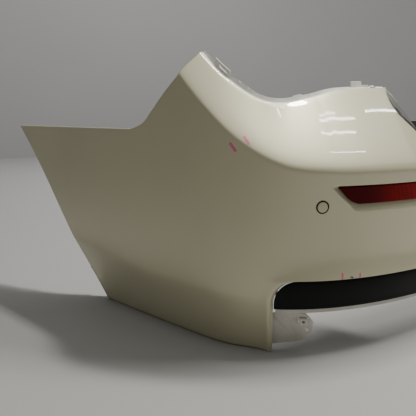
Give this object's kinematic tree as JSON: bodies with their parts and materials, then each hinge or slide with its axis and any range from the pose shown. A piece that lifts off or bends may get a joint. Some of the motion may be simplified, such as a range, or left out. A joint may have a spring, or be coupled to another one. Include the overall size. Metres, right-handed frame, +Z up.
{
  "type": "rear bumper cover",
  "caption": "Painted rear bumper cover with reflectors, parking sensors, lower trim strip, end brackets and towing-eye cover.",
  "frame": {"origin": "middle of the cover's footprint, on the surface that its lower edges stand on", "axes": "+X to the right seen from behind the car (longest), +Y towards the front of the car, +Z up"},
  "size_m": [1.85, 0.993, 0.5517],
  "materials": {
    "paint": "warm off-white metallic paint under clear coat",
    "red_lens": "clear red moulded lens with a fine prism pattern",
    "black_plastic": "black moulded plastic",
    "trim_black": "satin black moulded plastic with a fine grain",
    "rubber": "soft black silicone",
    "natural_plastic": "uncoloured grey-beige plastic with light overspray",
    "nylon": "grey-beige nylon",
    "spring_steel": "phosphated spring steel"
  },
  "bodies": {
    "cover": {"bumper_skin": "paint", "reflector_housing_left": "black_plastic", "reflector_lens_left": "red_lens", "reflector_housing_right": "black_plastic", "reflector_lens_right": "red_lens", "parking_sensor_outer_left": "paint", "sensor_ring_outer_left": "rubber", "sensor_holder_outer_left": "black_plastic", "parking_sensor_inner_left": "paint", "sensor_ring_inner_left": "rubber", "sensor_holder_inner_left": "black_plastic", "parking_sensor_inner_right": "paint", "sensor_ring_inner_right": "rubber", "sensor_holder_inner_right": "black_plastic", "parking_sensor_outer_right": "paint", "sensor_ring_outer_right": "rubber", "sensor_holder_outer_right": "black_plastic", "lower_trim_strip": "trim_black", "trim_carrier": "natural_plastic", "end_bracket_left": "natural_plastic", "clip_nut_left": "nylon", "arch_nut_left_1": "spring_steel", "arch_nut_left_2": "spring_steel", "arch_nut_left_3": "spring_steel", "end_bracket_right": "natural_plastic", "clip_nut_right": "nylon", "arch_nut_right_1": "spring_steel", "arch_nut_right_2": "spring_steel", "arch_nut_right_3": "spring_steel", "tow_cover_frame": "black_plastic"},
    "tow_cap": {"tow_eye_cover": "paint"}
  },
  "joints": [
    {"name": "tow_cap_pull", "type": "slide", "parent": "cover", "child": "tow_cap", "axis": [0.0828, -0.9966, 0], "range_m": [0, 0.04]}
  ]
}
